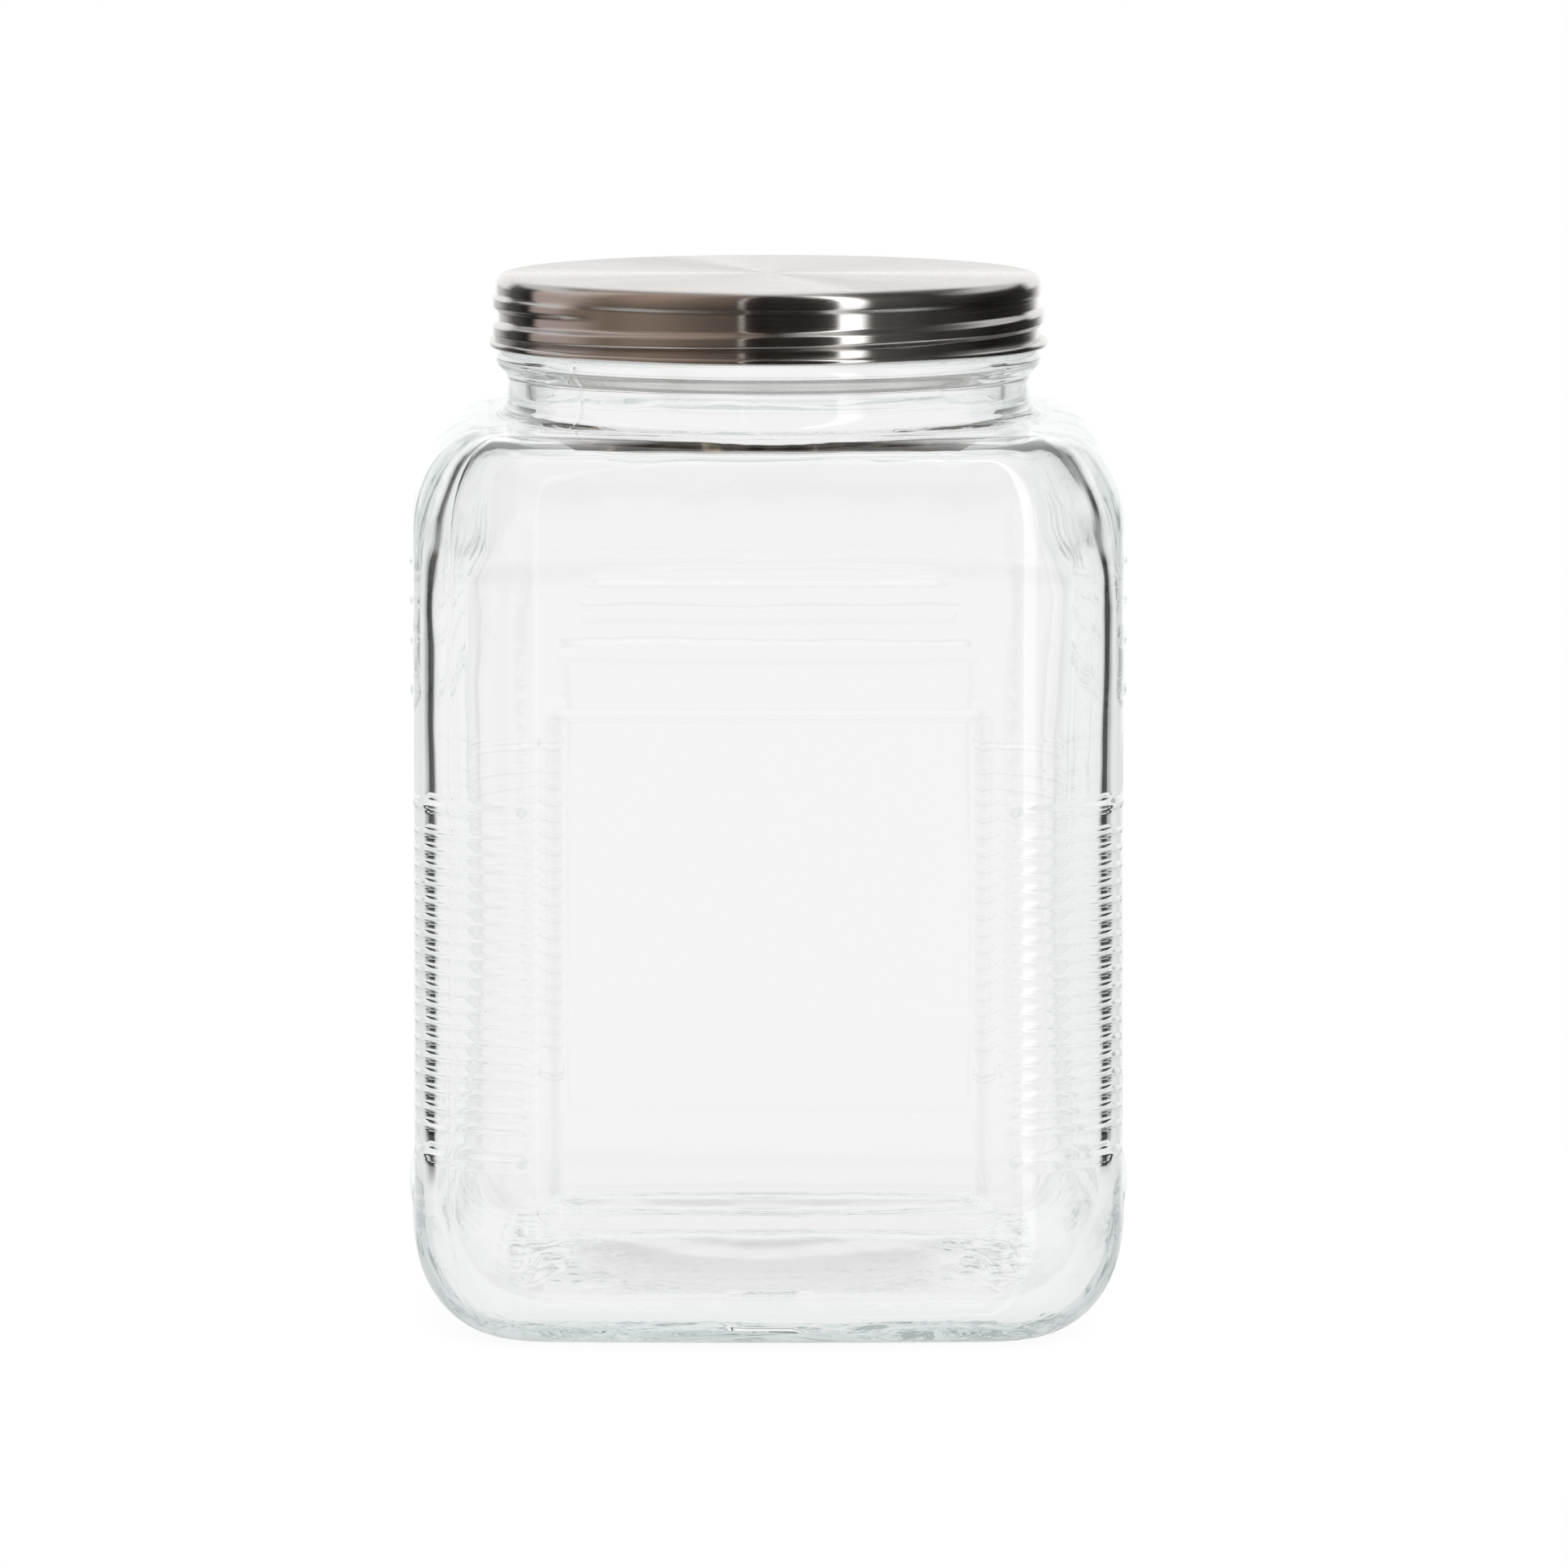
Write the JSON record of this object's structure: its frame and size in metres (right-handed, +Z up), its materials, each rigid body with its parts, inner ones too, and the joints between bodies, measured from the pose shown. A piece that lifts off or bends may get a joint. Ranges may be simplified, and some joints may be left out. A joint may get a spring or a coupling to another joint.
{
  "type": "cracker jar",
  "caption": "Square clear-glass storage jar with rounded ribbed corners, a sunken panel in each face, a round threaded neck and a brushed-steel screw lid.",
  "frame": {"origin": "middle of the base, on the surface the jar stands on", "axes": "+Z up through the neck and lid; X and Y square to the flat-sided faces"},
  "size_m": [0.128, 0.128, 0.1849],
  "materials": {
    "glass": "clear moulded soda-lime glass, faint green-grey in the thick parts",
    "steel": "fine circular brushing on the top, brushed round the skirt"
  },
  "bodies": {
    "root": {"jar": "glass", "lid": "steel"}
  },
  "joints": []
}
